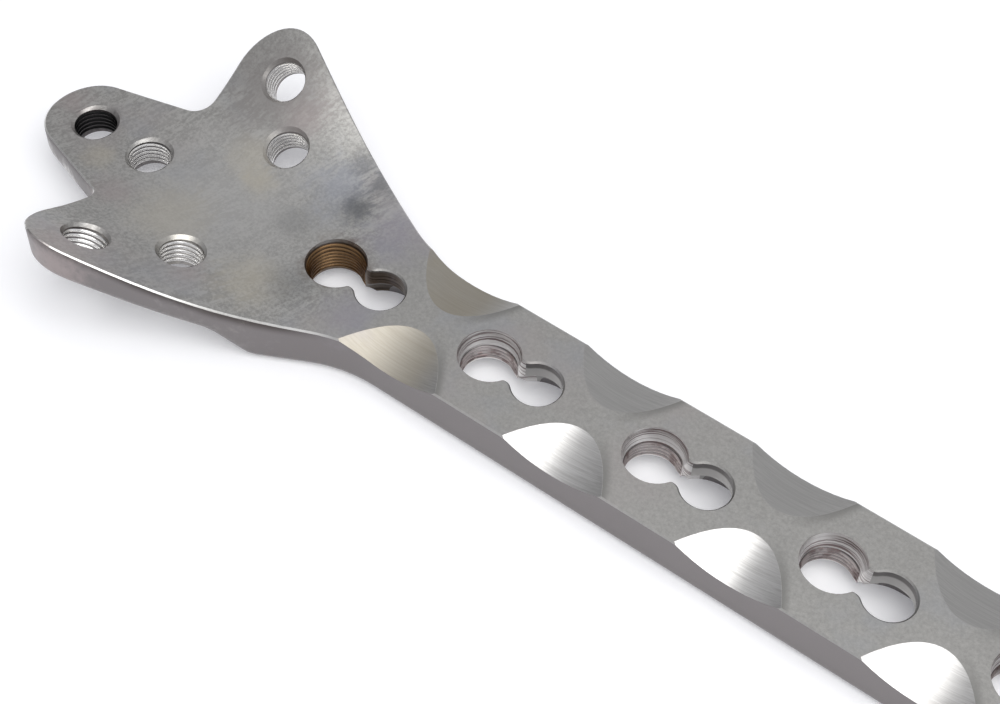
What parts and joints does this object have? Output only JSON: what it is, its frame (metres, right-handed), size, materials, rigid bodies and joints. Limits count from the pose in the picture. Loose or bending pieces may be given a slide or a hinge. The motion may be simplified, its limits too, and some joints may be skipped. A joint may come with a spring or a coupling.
{
  "type": "orthopedic bone plate",
  "caption": "Orthopedic bone plate: straight shaft with combination screw holes and edge undercuts, and a three-lobed head curved into a trough with small threaded holes.",
  "frame": {"origin": "on the first combination hole's threaded axis, in the plane of the shaft's outer face, which the plate lies on", "axes": "+X along the shaft from the head to the tail, +Y across it, +Z out of the side that meets the bone"},
  "size_m": [0.1235, 0.0364, 0.0124],
  "materials": {
    "plate": "satin"
  },
  "bodies": {
    "root": {"bone_plate": "plate"}
  },
  "joints": []
}
